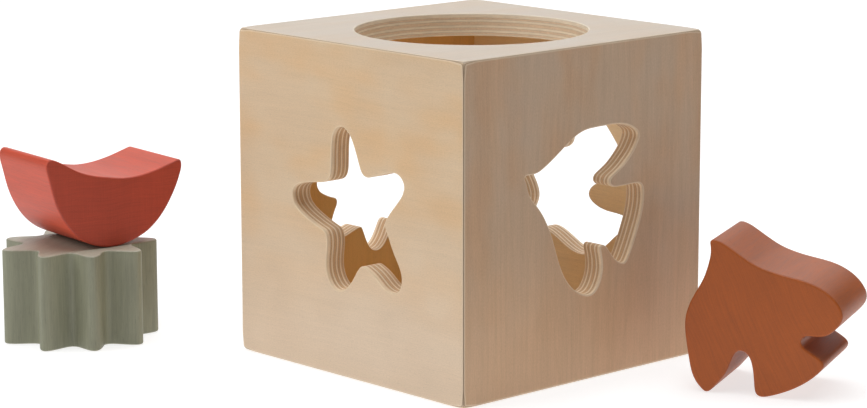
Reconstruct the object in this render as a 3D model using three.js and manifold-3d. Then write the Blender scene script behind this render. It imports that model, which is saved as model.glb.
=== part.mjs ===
// Wooden shape sorter: a cube of mitred plywood with one cut-out in each face,
// a round hand opening on top, and five painted wooden blocks that fit the cut-outs.
// Millimetres, +Z up. The set stands on the plane z = 0.
import * as THREE from "three";
import { mergeVertices } from "three/addons/utils/BufferGeometryUtils.js";
import Module from "manifold-3d";

// ---- driving dimensions ----
const BOX_SIDE = 140; // outer width and depth of the cube
const BOX_HEIGHT = 141; // outer height
const PANEL_T = 10; // plywood thickness
const GLUE_LINE = 0.1; // each mitre face is set back by this
const TOP_OPENING_D = 99; // round hand opening
const TOP_OPENING_AT = [2, -1]; // its middle, a little off the middle of the top
const BLOCK_T = 42; // thickness of every block
const REST_GAP = 0.15; // between a block and the piece it rests on
const CUT_OVERRUN = 2; // how far a cutter runs past each panel face

// Where the pieces lie, in the frame of the cube's centre line.
const SHIFT = [2.24, -2.40]; // puts the middle of the laid-out set at the origin
const FLOWER_AT = { x: -139.79, y: -105.01 };
const MOON_AT = { x: -161.77, y: -95.62, turn: 84.20 };
const FISH_AT = { x: 120.38, y: 70.34, turn: 25.37 };
const STAR_AT = { x: 14.71, y: 14.71, turn: -45 };
const BIRD_AT = { x: -117.29, y: 87.20, turn: 136.2 };

const COLOUR = {
  plywood: { color: 0xd9c3a0, roughness: 0.62, metalness: 0 },
  sage: { color: 0x84866e, roughness: 0.6, metalness: 0 },
  red: { color: 0xb4503e, roughness: 0.58, metalness: 0 },
  rust: { color: 0x9a5230, roughness: 0.58, metalness: 0 },
  sand: { color: 0xc79a55, roughness: 0.6, metalness: 0 },
  blue: { color: 0x6d8590, roughness: 0.6, metalness: 0 },
};

// ---- outlines, counter-clockwise, in the plane of the panel or block ----
// A hole outline is measured from the middle of its panel, seen from outside.
// A standing block's outline has y = 0 at the line that it stands on.
const STAR_HOLE = [
  [-3.35, 35.62], [-5.31, 35.12], [-7.08, 33.80], [-8.40, 31.79], [-9.11, 29.12],
  [-9.50, 25.31], [-9.69, 20.33], [-9.91, 16.65], [-10.53, 14.13], [-11.77, 12.35],
  [-13.73, 11.24], [-16.72, 10.50], [-21.30, 9.88], [-25.79, 9.16], [-29.48, 8.26],
  [-32.13, 7.20], [-33.84, 5.86], [-34.69, 4.01], [-34.67, 1.92], [-33.81, -0.17],
  [-32.14, -1.96], [-29.50, -3.66], [-25.82, -5.46], [-21.65, -7.12], [-17.24, -8.61],
  [-14.80, -9.52], [-13.40, -10.96], [-12.74, -13.14], [-12.64, -16.06], [-13.09, -19.97],
  [-13.41, -23.63], [-13.15, -26.56], [-12.24, -29.22], [-10.79, -31.43], [-9.00, -32.97],
  [-6.85, -33.75], [-4.54, -33.71], [-2.19, -32.88], [0.14, -31.15], [2.48, -28.76],
  [4.69, -25.70], [6.60, -23.06], [8.24, -21.62], [10.17, -21.22], [12.44, -21.90],
  [15.55, -23.31], [18.72, -25.32], [21.81, -27.53], [24.41, -28.83], [26.98, -29.36],
  [29.29, -29.18], [31.19, -28.28], [32.47, -26.59], [33.12, -24.35], [33.10, -21.84],
  [32.29, -19.19], [30.62, -16.28], [28.34, -12.75], [26.26, -8.84], [24.14, -4.46],
  [23.19, -2.24], [23.43, -0.24], [24.77, 1.79], [27.37, 4.86], [30.73, 8.46],
  [33.05, 11.21], [34.37, 13.53], [34.76, 15.57], [34.19, 17.50], [32.77, 19.11],
  [30.79, 20.19], [28.40, 20.45], [25.48, 19.94], [20.39, 18.51], [15.21, 17.02],
  [12.57, 16.42], [10.52, 16.76], [8.94, 18.04], [7.70, 20.30], [6.04, 24.43], [4.16, 28.74],
  [2.55, 31.61], [0.69, 33.76], [-1.28, 35.12],
];

const FISH_HOLE = [
  [-35.82, 19.69], [-35.32, 18.50], [-34.59, 16.92], [-33.88, 14.22], [-32.71, 11.73],
  [-30.70, 9.26], [-27.85, 6.28], [-25.42, 3.24], [-23.30, -0.06], [-21.35, -3.79],
  [-19.58, -7.91], [-17.74, -12.95], [-15.97, -17.70], [-14.27, -21.52], [-12.42, -24.74],
  [-10.32, -27.51], [-7.85, -29.95], [-5.19, -31.91], [-2.35, -33.38], [0.35, -34.24],
  [2.68, -34.37], [4.75, -33.70], [6.45, -32.23], [7.91, -30.02], [8.95, -27.35],
  [9.46, -24.46], [9.35, -21.39], [8.69, -18.18], [8.26, -16.34], [8.58, -14.88],
  [9.94, -14.38], [11.44, -14.92], [13.12, -16.38], [15.14, -18.92], [17.26, -21.22],
  [19.52, -22.81], [21.51, -23.62], [23.24, -23.69], [24.53, -22.44], [25.92, -20.07],
  [27.95, -16.03], [30.06, -11.24], [31.82, -6.85], [33.02, -3.03], [33.75, 0.62],
  [33.97, 3.88], [33.74, 6.34], [32.93, 8.05], [31.35, 8.97], [28.97, 9.21], [24.25, 9.16],
  [19.19, 9.11], [16.55, 9.28], [14.73, 9.95], [13.71, 11.13], [13.78, 12.67],
  [14.92, 13.97], [17.13, 15.20], [20.17, 16.90], [23.19, 19.13], [25.98, 21.68],
  [28.34, 24.37], [29.96, 26.83], [30.77, 28.72], [30.57, 30.49], [29.28, 31.93],
  [27.05, 33.27], [24.04, 34.50], [20.69, 35.30], [16.87, 35.72], [12.37, 35.81],
  [6.62, 35.73], [2.10, 35.55], [-1.45, 35.07], [-4.66, 34.11], [-7.91, 32.59],
  [-11.74, 30.30], [-16.76, 27.08], [-21.25, 24.31], [-25.04, 22.22], [-27.96, 20.98],
  [-30.88, 20.50], [-33.39, 20.49], [-34.81, 20.41],
];

const BIRD_HOLE = [
  [6.48, 11.63], [5.36, 13.81], [4.72, 17.17], [4.13, 21.18], [3.12, 24.31], [1.43, 27.12],
  [-0.82, 29.53], [-3.39, 31.34], [-6.15, 32.44], [-9.03, 32.72], [-11.94, 32.19],
  [-15.04, 30.83], [-18.12, 28.77], [-21.41, 25.94], [-24.83, 22.43], [-28.23, 18.58],
  [-30.85, 15.17], [-32.54, 12.17], [-33.45, 9.27], [-33.52, 6.37], [-32.78, 3.61],
  [-31.38, 1.26], [-29.45, -0.45], [-27.03, -1.27], [-23.70, -1.37], [-20.14, -1.45],
  [-17.33, -2.16], [-14.98, -3.64], [-13.42, -5.38], [-12.79, -7.31], [-13.49, -9.15],
  [-15.25, -10.70], [-18.04, -12.06], [-21.54, -13.04], [-25.62, -13.54], [-30.43, -13.80],
  [-34.42, -14.31], [-37.48, -15.16], [-39.38, -16.27], [-40.23, -17.76], [-39.76, -19.33],
  [-38.08, -20.21], [-35.21, -20.93], [-32.02, -22.11], [-29.08, -24.03], [-25.73, -26.96],
  [-22.42, -29.72], [-19.02, -31.88], [-15.57, -33.48], [-11.98, -34.53], [-8.53, -34.92],
  [-5.18, -34.66], [-1.69, -33.66], [2.21, -31.91], [6.97, -29.49], [10.89, -27.75],
  [14.04, -26.84], [16.78, -26.76], [19.13, -27.63], [21.44, -29.63], [23.79, -31.76],
  [26.20, -32.95], [28.59, -33.11], [30.84, -32.48], [32.36, -31.15], [32.86, -29.09],
  [32.37, -26.58], [30.95, -23.36], [28.86, -19.61], [27.54, -16.57], [27.21, -13.95],
  [27.86, -11.25], [29.42, -8.23], [31.94, -4.64], [35.35, -0.37], [38.00, 3.17],
  [39.49, 5.76], [39.99, 7.80], [39.22, 9.45], [37.34, 10.51], [34.43, 11.15],
  [30.79, 11.31], [26.99, 10.94], [22.61, 9.93], [18.43, 9.18], [14.56, 8.98], [11.18, 9.29],
  [8.45, 10.15],
];

const FLOWER_HOLE = [
  [12.68, 23.82], [12.34, 27.57], [11.74, 31.66], [10.53, 34.44], [8.56, 36.06],
  [5.99, 36.32], [3.36, 35.18], [0.60, 32.73], [-2.34, 29.31], [-4.21, 27.41],
  [-6.43, 27.50], [-9.01, 29.36], [-12.70, 31.83], [-15.71, 33.07], [-18.37, 33.09],
  [-20.54, 31.73], [-21.69, 29.29], [-21.89, 25.94], [-21.36, 21.62], [-21.19, 19.18],
  [-22.58, 17.95], [-25.53, 17.92], [-29.88, 17.83], [-32.91, 17.05], [-34.92, 15.45],
  [-35.58, 13.04], [-34.82, 10.36], [-32.70, 7.53], [-29.60, 4.36], [-28.09, 2.61],
  [-28.85, 0.73], [-31.35, -1.41], [-34.36, -4.17], [-36.12, -6.72], [-36.52, -9.20],
  [-35.44, -11.34], [-33.05, -12.49], [-29.41, -13.04], [-26.08, -13.33], [-24.97, -13.42],
  [-25.55, -14.17], [-26.59, -17.04], [-27.67, -20.65], [-27.57, -23.28], [-26.16, -25.23],
  [-23.67, -26.23], [-20.52, -26.07], [-16.62, -24.82], [-13.02, -23.51], [-10.61, -23.34],
  [-8.99, -25.29], [-7.12, -28.84], [-4.98, -32.11], [-2.66, -34.21], [-0.12, -35.00],
  [2.42, -34.36], [4.50, -32.35], [6.26, -29.02], [7.75, -25.38], [9.02, -23.40],
  [11.35, -23.55], [15.06, -24.84], [19.00, -26.09], [22.16, -26.29], [24.70, -25.41],
  [26.27, -23.44], [26.62, -20.69], [25.77, -17.25], [24.09, -13.34], [23.02, -10.76],
  [23.51, -8.74], [25.87, -7.75], [30.05, -6.01], [32.78, -4.27], [34.24, -2.02],
  [34.30, 0.44], [32.80, 2.67], [30.02, 4.66], [26.04, 6.46], [23.70, 7.62], [23.01, 9.34],
  [24.28, 11.53], [26.53, 15.33], [27.49, 18.32], [27.17, 20.86], [25.51, 22.70],
  [22.85, 23.36], [19.34, 23.00], [15.67, 22.16], [13.46, 21.88],
];

const MOON_HOLE = [
  [-30.58, -9.39], [-29.50, -12.97], [-28.14, -16.56], [-26.44, -20.33], [-24.39, -24.66],
  [-22.87, -27.94], [-21.66, -29.71], [-20.29, -30.90], [-18.75, -31.56], [-17.15, -31.67],
  [-15.69, -31.22], [-14.46, -30.22], [-13.33, -28.47], [-11.89, -25.43], [-10.28, -21.27],
  [-8.82, -17.59], [-7.32, -14.68], [-5.43, -11.68], [-3.15, -8.59], [-0.41, -5.31],
  [3.37, -0.99], [5.61, 1.30], [8.33, 3.52], [11.24, 5.58], [14.54, 7.52], [18.37, 9.54],
  [22.04, 11.19], [26.89, 13.20], [29.66, 14.37], [30.95, 15.35], [31.65, 16.60],
  [31.75, 18.02], [31.23, 19.49], [30.07, 21.07], [28.39, 22.53], [25.65, 24.23],
  [22.07, 26.17], [18.88, 27.59], [14.88, 29.08], [11.50, 30.10], [7.67, 30.93],
  [4.05, 31.50], [0.75, 31.69], [-2.80, 31.64], [-5.27, 31.28], [-7.74, 30.44],
  [-10.77, 28.99], [-15.13, 26.58], [-18.53, 24.55], [-21.06, 22.70], [-23.40, 20.55],
  [-26.12, 17.66], [-27.70, 15.73], [-28.68, 13.67], [-29.99, 9.92], [-30.91, 6.78],
  [-31.48, 3.59], [-31.75, 0.32], [-31.71, -2.96], [-31.35, -6.01],
];

const STAR_BLOCK = [
  [-0.02, 64.77], [-1.77, 64.41], [-3.29, 63.11], [-4.40, 60.92], [-5.25, 57.57],
  [-6.14, 52.56], [-6.91, 48.44], [-7.84, 45.82], [-9.34, 43.86], [-11.39, 42.48],
  [-13.94, 41.82], [-17.79, 41.66], [-23.70, 41.58], [-27.71, 41.38], [-30.56, 40.79],
  [-32.47, 39.90], [-33.40, 38.41], [-33.20, 36.63], [-32.09, 34.71], [-29.98, 32.83],
  [-26.49, 30.57], [-22.51, 28.30], [-18.63, 26.42], [-16.15, 25.15], [-14.64, 23.41],
  [-13.80, 21.17], [-13.66, 18.46], [-14.22, 15.20], [-15.30, 11.12], [-15.82, 7.96],
  [-15.65, 5.16], [-14.85, 2.85], [-13.43, 1.08], [-11.61, 0.13], [-9.48, 0.09],
  [-7.17, 1.02], [-4.62, 2.78], [-2.08, 5.29], [0.42, 8.04], [2.53, 9.71], [4.63, 10.50],
  [6.87, 10.27], [9.52, 9.05], [12.48, 7.17], [15.34, 4.68], [18.13, 2.13], [20.51, 0.61],
  [22.66, 0.00], [24.58, 0.22], [26.02, 1.49], [26.72, 3.39], [26.74, 5.82], [25.93, 8.56],
  [24.24, 12.07], [22.63, 15.94], [20.89, 21.07], [19.75, 24.60], [19.66, 26.83],
  [20.72, 28.90], [22.71, 31.26], [25.63, 33.82], [29.19, 36.65], [31.69, 39.03],
  [33.08, 40.89], [33.38, 42.67], [32.53, 44.18], [30.86, 45.27], [28.55, 45.58],
  [25.18, 45.16], [20.25, 44.52], [16.38, 43.83], [13.46, 43.68], [11.10, 44.25],
  [9.26, 45.48], [7.98, 47.56], [6.96, 50.83], [5.67, 55.82], [4.51, 59.48], [3.18, 62.18],
  [1.68, 63.93],
];

const FISH_BLOCK = [
  [-22.80, 62.90], [-22.73, 61.48], [-22.54, 59.08], [-22.82, 56.24], [-23.81, 52.20],
  [-24.88, 48.86], [-26.30, 45.66], [-28.44, 41.77], [-30.32, 38.24], [-31.63, 35.05],
  [-32.55, 31.88], [-32.94, 28.97], [-32.89, 25.71], [-32.45, 21.70], [-31.64, 16.66],
  [-30.74, 11.60], [-29.91, 8.16], [-28.85, 5.52], [-27.38, 3.19], [-25.46, 1.10],
  [-24.04, 0.11], [-22.71, 0.18], [-21.30, 1.11], [-18.73, 4.03], [-16.34, 6.98],
  [-14.95, 9.37], [-13.47, 13.10], [-12.17, 16.14], [-11.01, 17.66], [-9.62, 18.37],
  [-8.07, 18.29], [-6.61, 17.44], [-5.39, 15.87], [-4.48, 13.56], [-3.82, 10.40],
  [-3.36, 6.27], [-2.95, 2.66], [-2.29, 1.04], [-1.14, 0.21], [0.61, 0.00], [3.15, 0.51],
  [6.78, 1.71], [10.60, 3.26], [13.97, 4.92], [17.28, 6.91], [20.23, 9.04], [22.89, 11.39],
  [24.82, 13.53], [25.59, 15.07], [25.38, 16.35], [24.26, 17.64], [21.30, 19.62],
  [18.03, 21.58], [16.60, 22.86], [16.10, 24.26], [16.35, 25.80], [17.18, 26.78],
  [18.80, 27.10], [22.15, 27.12], [24.96, 27.42], [27.06, 28.19], [29.01, 29.62],
  [31.00, 31.74], [32.38, 33.85], [32.94, 35.73], [32.79, 37.67], [31.89, 39.78],
  [30.31, 42.08], [28.30, 44.15], [25.83, 46.00], [23.00, 47.59], [19.93, 48.85],
  [16.54, 49.81], [12.26, 50.66], [7.14, 51.59], [3.04, 52.53], [-0.74, 53.66],
  [-4.05, 54.97], [-7.25, 56.66], [-11.32, 59.16], [-15.70, 61.92], [-18.15, 63.17],
  [-20.64, 63.88], [-21.99, 63.72],
];

const BIRD_BLOCK = [
  [5.89, 42.75], [4.70, 45.14], [4.10, 48.38], [3.78, 52.34], [3.00, 55.66], [1.60, 58.47],
  [-0.40, 60.83], [-2.83, 62.63], [-5.45, 63.65], [-8.21, 63.73], [-11.15, 62.94],
  [-14.31, 61.31], [-17.54, 58.93], [-21.17, 55.66], [-24.82, 52.00], [-27.82, 48.60],
  [-29.71, 45.79], [-30.73, 42.98], [-30.85, 40.23], [-30.14, 37.70], [-28.71, 35.73],
  [-26.66, 34.58], [-23.70, 34.27], [-19.96, 34.08], [-16.91, 33.27], [-14.33, 31.79],
  [-12.27, 29.79], [-11.12, 27.57], [-10.90, 25.33], [-11.84, 23.23], [-13.79, 21.45],
  [-16.60, 19.95], [-19.97, 18.98], [-23.97, 18.50], [-29.02, 18.40], [-33.47, 18.21],
  [-36.50, 17.68], [-37.87, 17.22], [-38.56, 16.18], [-37.15, 15.77], [-35.07, 15.15],
  [-31.76, 13.73], [-28.89, 11.70], [-25.69, 8.62], [-22.38, 5.59], [-19.14, 3.28],
  [-15.75, 1.52], [-12.38, 0.40], [-9.05, 0.00], [-5.70, 0.33], [-2.04, 1.37], [2.22, 3.21],
  [6.68, 5.23], [10.48, 6.49], [13.78, 7.08], [16.56, 6.84], [19.11, 5.68], [21.46, 3.61],
  [23.54, 1.40], [25.66, 0.20], [27.69, 0.05], [29.40, 0.80], [29.86, 2.56], [29.33, 4.86],
  [27.78, 8.29], [26.00, 11.95], [25.08, 15.06], [25.05, 17.90], [25.93, 20.81],
  [27.64, 23.85], [30.29, 27.29], [33.99, 31.50], [36.97, 35.10], [38.29, 37.01],
  [38.65, 38.78], [37.08, 39.64], [34.61, 40.28], [31.19, 40.55], [27.15, 40.14],
  [22.08, 39.32], [17.77, 38.92], [13.98, 39.04], [10.65, 39.73], [7.92, 40.96],
];

const FLOWER_BLOCK = [
  [25.95, 0.00], [29.18, 2.19], [32.10, 4.45], [33.67, 6.48], [33.64, 8.64], [31.95, 10.26],
  [28.97, 11.41], [24.82, 12.27], [21.52, 13.14], [19.67, 14.66], [19.16, 17.19],
  [19.55, 20.97], [19.85, 24.87], [19.41, 27.62], [18.04, 29.32], [15.74, 29.36],
  [13.16, 28.10], [9.89, 25.76], [7.15, 23.99], [5.01, 23.78], [3.25, 25.38], [1.45, 28.56],
  [-0.44, 31.72], [-2.29, 33.64], [-4.36, 34.02], [-6.09, 32.53], [-7.37, 29.79],
  [-8.54, 25.81], [-9.63, 22.90], [-11.29, 21.51], [-13.79, 21.73], [-17.30, 23.04],
  [-20.80, 24.18], [-23.37, 24.37], [-25.11, 23.34], [-24.99, 21.20], [-23.88, 18.66],
  [-22.08, 15.46], [-20.96, 13.10], [-21.30, 11.32], [-23.34, 10.73], [-26.57, 10.57],
  [-29.77, 10.31], [-32.04, 9.61], [-32.83, 7.76], [-31.97, 5.52], [-29.76, 3.02],
  [-26.46, 0.23], [-24.25, -2.04], [-23.58, -4.33], [-24.49, -6.93], [-26.72, -10.42],
  [-28.55, -13.74], [-29.21, -16.39], [-28.55, -18.54], [-26.46, -19.65], [-23.32, -19.78],
  [-19.30, -19.30], [-16.18, -19.21], [-14.21, -20.29], [-13.15, -22.78], [-12.49, -26.79],
  [-11.69, -30.61], [-10.51, -33.15], [-8.72, -34.45], [-6.48, -33.96], [-4.28, -32.09],
  [-1.77, -28.91], [0.50, -26.05], [2.56, -24.74], [4.76, -25.19], [7.44, -27.20],
  [10.50, -29.64], [13.01, -30.95], [15.19, -30.88], [16.47, -29.11], [16.82, -26.30],
  [16.55, -22.20], [16.35, -18.74], [17.05, -16.58], [19.08, -15.73], [22.44, -15.77],
  [26.27, -15.84], [28.85, -15.34], [30.34, -13.83], [30.00, -11.70], [28.27, -9.13],
  [25.67, -6.26], [24.03, -3.98], [24.08, -1.90],
];

const MOON_BLOCK = [
  [-27.00, 17.41], [-25.39, 14.49], [-23.69, 11.91], [-21.79, 9.55], [-19.73, 7.43],
  [-17.52, 5.57], [-15.19, 4.01], [-12.53, 2.62], [-9.89, 1.54], [-7.15, 0.77],
  [-4.18, 0.23], [-1.23, 0.00], [1.76, 0.05], [4.62, 0.39], [7.63, 1.05], [10.76, 2.01],
  [13.85, 3.22], [16.42, 4.48], [18.78, 6.01], [21.20, 7.93], [23.38, 10.02], [25.50, 12.43],
  [27.45, 15.04], [29.36, 18.03], [31.25, 21.34], [32.67, 24.23], [34.07, 27.71],
  [34.98, 30.44], [35.24, 32.36], [35.06, 33.92], [34.52, 34.74], [33.56, 35.04],
  [31.80, 34.66], [27.61, 33.39], [23.28, 32.14], [19.68, 31.29], [15.73, 30.54],
  [12.34, 30.09], [8.93, 29.89], [5.67, 29.91], [2.67, 30.21], [-2.11, 31.01],
  [-6.43, 31.79], [-9.97, 32.61], [-13.31, 33.60], [-16.33, 34.74], [-19.14, 36.08],
  [-22.91, 38.23], [-26.19, 40.04], [-28.91, 41.28], [-30.46, 41.68], [-31.57, 41.44],
  [-32.45, 40.65], [-33.01, 39.38], [-33.10, 37.77], [-32.67, 35.48], [-31.60, 31.41],
  [-30.49, 26.90], [-29.50, 23.46], [-28.36, 20.38],
];

// ---- solids ----
const wasm = await Module();
wasm.setup();

// A closed geometry as a solid, its shared corners merged.
function solid(geometry) {
  const g = geometry.clone();
  g.deleteAttribute("normal");
  g.deleteAttribute("uv");
  const m = mergeVertices(g, 1e-4);
  return new wasm.Manifold(
    new wasm.Mesh({
      numProp: 3,
      vertProperties: Float32Array.from(m.attributes.position.array),
      triVerts: Uint32Array.from(m.index.array),
    }),
  );
}

// A solid back as a geometry.
function geometryOf(made) {
  const m = made.getMesh();
  const g = new THREE.BufferGeometry();
  const v = new Float32Array(m.numVert * 3);
  for (let i = 0; i < m.numVert; i++)
    v.set(m.vertProperties.subarray(i * m.numProp, i * m.numProp + 3), i * 3);
  g.setAttribute("position", new THREE.BufferAttribute(v, 3));
  g.setIndex(new THREE.BufferAttribute(Uint32Array.from(m.triVerts), 1));
  g.computeVertexNormals();
  return g;
}

// A straight prism of an outline, from z = 0 to z = depth.
function prism(outline, depth) {
  const shape = new THREE.Shape(outline.map(([x, y]) => new THREE.Vector2(x, y)));
  return new THREE.ExtrudeGeometry(shape, { depth, bevelEnabled: false });
}

// A plywood panel lying in X and Y with its outer face up at z = PANEL_T / 2.
// All four edges are mitred at 45 degrees, so the inner face is smaller.
function panel(width, height, outline) {
  const g = new THREE.BoxGeometry(width, height, PANEL_T);
  const p = g.attributes.position;
  for (let i = 0; i < p.count; i++) {
    const inset = GLUE_LINE + (p.getZ(i) < 0 ? PANEL_T : 0);
    p.setX(i, p.getX(i) - Math.sign(p.getX(i)) * inset);
    p.setY(i, p.getY(i) - Math.sign(p.getY(i)) * inset);
  }
  const cutter = prism(outline, PANEL_T + 2 * CUT_OVERRUN);
  cutter.translate(0, 0, -PANEL_T / 2 - CUT_OVERRUN);
  return geometryOf(solid(g).subtract(solid(cutter)));
}

function circle(diameter, count) {
  const points = [];
  for (let i = 0; i < count; i++) {
    const a = (2 * Math.PI * i) / count;
    points.push([(diameter / 2) * Math.cos(a), (diameter / 2) * Math.sin(a)]);
  }
  return points;
}

function mesh(name, geometry, look) {
  const m = new THREE.Mesh(geometry, new THREE.MeshStandardMaterial(COLOUR[look]));
  m.name = name;
  return m;
}

const DEG = Math.PI / 180;
const set = new THREE.Group();
set.name = "shape_sorter";
set.position.set(SHIFT[0], SHIFT[1], 0);

// ---- the cube ----
const cube = new THREE.Group();
set.add(cube);

// A panel's own +Z ends up as the outward normal of its face.
function addPanel(name, width, height, outline, position, turn, tilt) {
  const m = mesh(name, panel(width, height, outline), "plywood");
  m.position.set(...position);
  m.rotation.set(tilt * DEG, 0, turn * DEG, "ZYX");
  cube.add(m);
}
const FACE = (BOX_SIDE - PANEL_T) / 2; // middle of a side panel's thickness
const MID = BOX_HEIGHT / 2;
addPanel("front_panel_star", BOX_SIDE, BOX_HEIGHT, STAR_HOLE, [0, -FACE, MID], 0, 90);
addPanel("right_panel_fish", BOX_SIDE, BOX_HEIGHT, FISH_HOLE, [FACE, 0, MID], 90, 90);
addPanel("back_panel_bird", BOX_SIDE, BOX_HEIGHT, BIRD_HOLE, [0, FACE, MID], 180, 90);
addPanel("left_panel_flower", BOX_SIDE, BOX_HEIGHT, FLOWER_HOLE, [-FACE, 0, MID], -90, 90);
addPanel(
  "top_panel_round_opening",
  BOX_SIDE,
  BOX_SIDE,
  circle(TOP_OPENING_D, 72).map(([x, y]) => [x + TOP_OPENING_AT[0], y + TOP_OPENING_AT[1]]),
  [0, 0, BOX_HEIGHT - PANEL_T / 2],
  0,
  0,
);
addPanel("bottom_panel_moon", BOX_SIDE, BOX_SIDE, MOON_HOLE, [0, 0, PANEL_T / 2], 0, 180);

// ---- the blocks ----
// A lying block keeps its outline in X and Y. A standing block is turned up so that
// its outline's y is height, and its thickness runs along its group's -Y.
function addBlock(name, outline, look, at, z, standing) {
  const group = new THREE.Group();
  group.position.set(at.x, at.y, z);
  group.rotation.z = (at.turn ?? 0) * DEG;
  const m = mesh(name, prism(outline, BLOCK_T), look);
  if (standing) m.rotation.x = 90 * DEG;
  group.add(m);
  set.add(group);
}
addBlock("block_flower", FLOWER_BLOCK, "sage", FLOWER_AT, 0, false);
addBlock("block_moon", MOON_BLOCK, "red", MOON_AT, BLOCK_T + REST_GAP, true);
addBlock("block_fish", FISH_BLOCK, "rust", FISH_AT, 0, true);
addBlock("block_star", STAR_BLOCK, "sand", STAR_AT, PANEL_T + REST_GAP, true);
addBlock("block_bird", BIRD_BLOCK, "blue", BIRD_AT, 0, true);

export default set;
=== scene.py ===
"""Wooden shape sorter: a glued plywood cube with a cut-out in each face and five painted blocks.
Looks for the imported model: finely rounded meshes and node materials, a pale floor, soft lights and the camera."""
import math

import bpy
import numpy as np
from mathutils import Matrix, Vector
from mathutils.geometry import tessellate_polygon


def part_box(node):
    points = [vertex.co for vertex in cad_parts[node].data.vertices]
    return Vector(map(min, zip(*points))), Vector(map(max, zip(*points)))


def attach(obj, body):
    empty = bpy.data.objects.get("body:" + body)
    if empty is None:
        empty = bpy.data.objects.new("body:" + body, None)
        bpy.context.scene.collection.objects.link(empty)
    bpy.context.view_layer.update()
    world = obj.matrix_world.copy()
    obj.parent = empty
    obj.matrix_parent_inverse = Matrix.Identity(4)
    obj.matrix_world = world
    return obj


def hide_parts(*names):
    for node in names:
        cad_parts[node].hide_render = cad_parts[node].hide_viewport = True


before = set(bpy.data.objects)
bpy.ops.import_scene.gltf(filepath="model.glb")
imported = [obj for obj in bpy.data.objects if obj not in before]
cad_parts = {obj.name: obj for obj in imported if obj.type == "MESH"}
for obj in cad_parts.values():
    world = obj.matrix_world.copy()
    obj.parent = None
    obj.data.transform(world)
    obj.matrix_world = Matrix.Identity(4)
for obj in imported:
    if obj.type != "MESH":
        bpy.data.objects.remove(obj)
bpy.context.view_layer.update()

# ---------------------------------------------------------------- sizes, mm
SIDE, HEIGHT, PLY = 140.0, 141.0, 10.0
GLUE = 0.10  # each mitre is set back by this at the outer arris
ARRIS, CORNER = 1.3, 2.2  # sanded radius of the cube's edges, and of its corners
HOLE_ARRIS, HOLE_INNER = 0.6, 0.4  # round-over of a cut-out's outer and inner edge
BLOCK_T, BLOCK_ARRIS = 42.0, 0.9
OPENING_D, OPENING_AT = 99.0, (2.0, -1.0)
FISH_TURN, STAR_TURN, MOON_TURN, BIRD_TURN = 25.37, -45.0, 84.2, 136.2

# ---------------------------------------------------------------- outlines, mm, as in the CAD model
STAR_HOLE = [
    (-3.35, 35.62), (-5.31, 35.12), (-7.08, 33.80), (-8.40, 31.79), (-9.11, 29.12), (-9.50, 25.31),
    (-9.69, 20.33), (-9.91, 16.65), (-10.53, 14.13), (-11.77, 12.35), (-13.73, 11.24),
    (-16.72, 10.50), (-21.30, 9.88), (-25.79, 9.16), (-29.48, 8.26), (-32.13, 7.20),
    (-33.84, 5.86), (-34.69, 4.01), (-34.67, 1.92), (-33.81, -0.17), (-32.14, -1.96),
    (-29.50, -3.66), (-25.82, -5.46), (-21.65, -7.12), (-17.24, -8.61), (-14.80, -9.52),
    (-13.40, -10.96), (-12.74, -13.14), (-12.64, -16.06), (-13.09, -19.97), (-13.41, -23.63),
    (-13.15, -26.56), (-12.24, -29.22), (-10.79, -31.43), (-9.00, -32.97), (-6.85, -33.75),
    (-4.54, -33.71), (-2.19, -32.88), (0.14, -31.15), (2.48, -28.76), (4.69, -25.70),
    (6.60, -23.06), (8.24, -21.62), (10.17, -21.22), (12.44, -21.90), (15.55, -23.31),
    (18.72, -25.32), (21.81, -27.53), (24.41, -28.83), (26.98, -29.36), (29.29, -29.18),
    (31.19, -28.28), (32.47, -26.59), (33.12, -24.35), (33.10, -21.84), (32.29, -19.19),
    (30.62, -16.28), (28.34, -12.75), (26.26, -8.84), (24.14, -4.46), (23.19, -2.24),
    (23.43, -0.24), (24.77, 1.79), (27.37, 4.86), (30.73, 8.46), (33.05, 11.21), (34.37, 13.53),
    (34.76, 15.57), (34.19, 17.50), (32.77, 19.11), (30.79, 20.19), (28.40, 20.45), (25.48, 19.94),
    (20.39, 18.51), (15.21, 17.02), (12.57, 16.42), (10.52, 16.76), (8.94, 18.04), (7.70, 20.30),
    (6.04, 24.43), (4.16, 28.74), (2.55, 31.61), (0.69, 33.76), (-1.28, 35.12),
]
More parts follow.
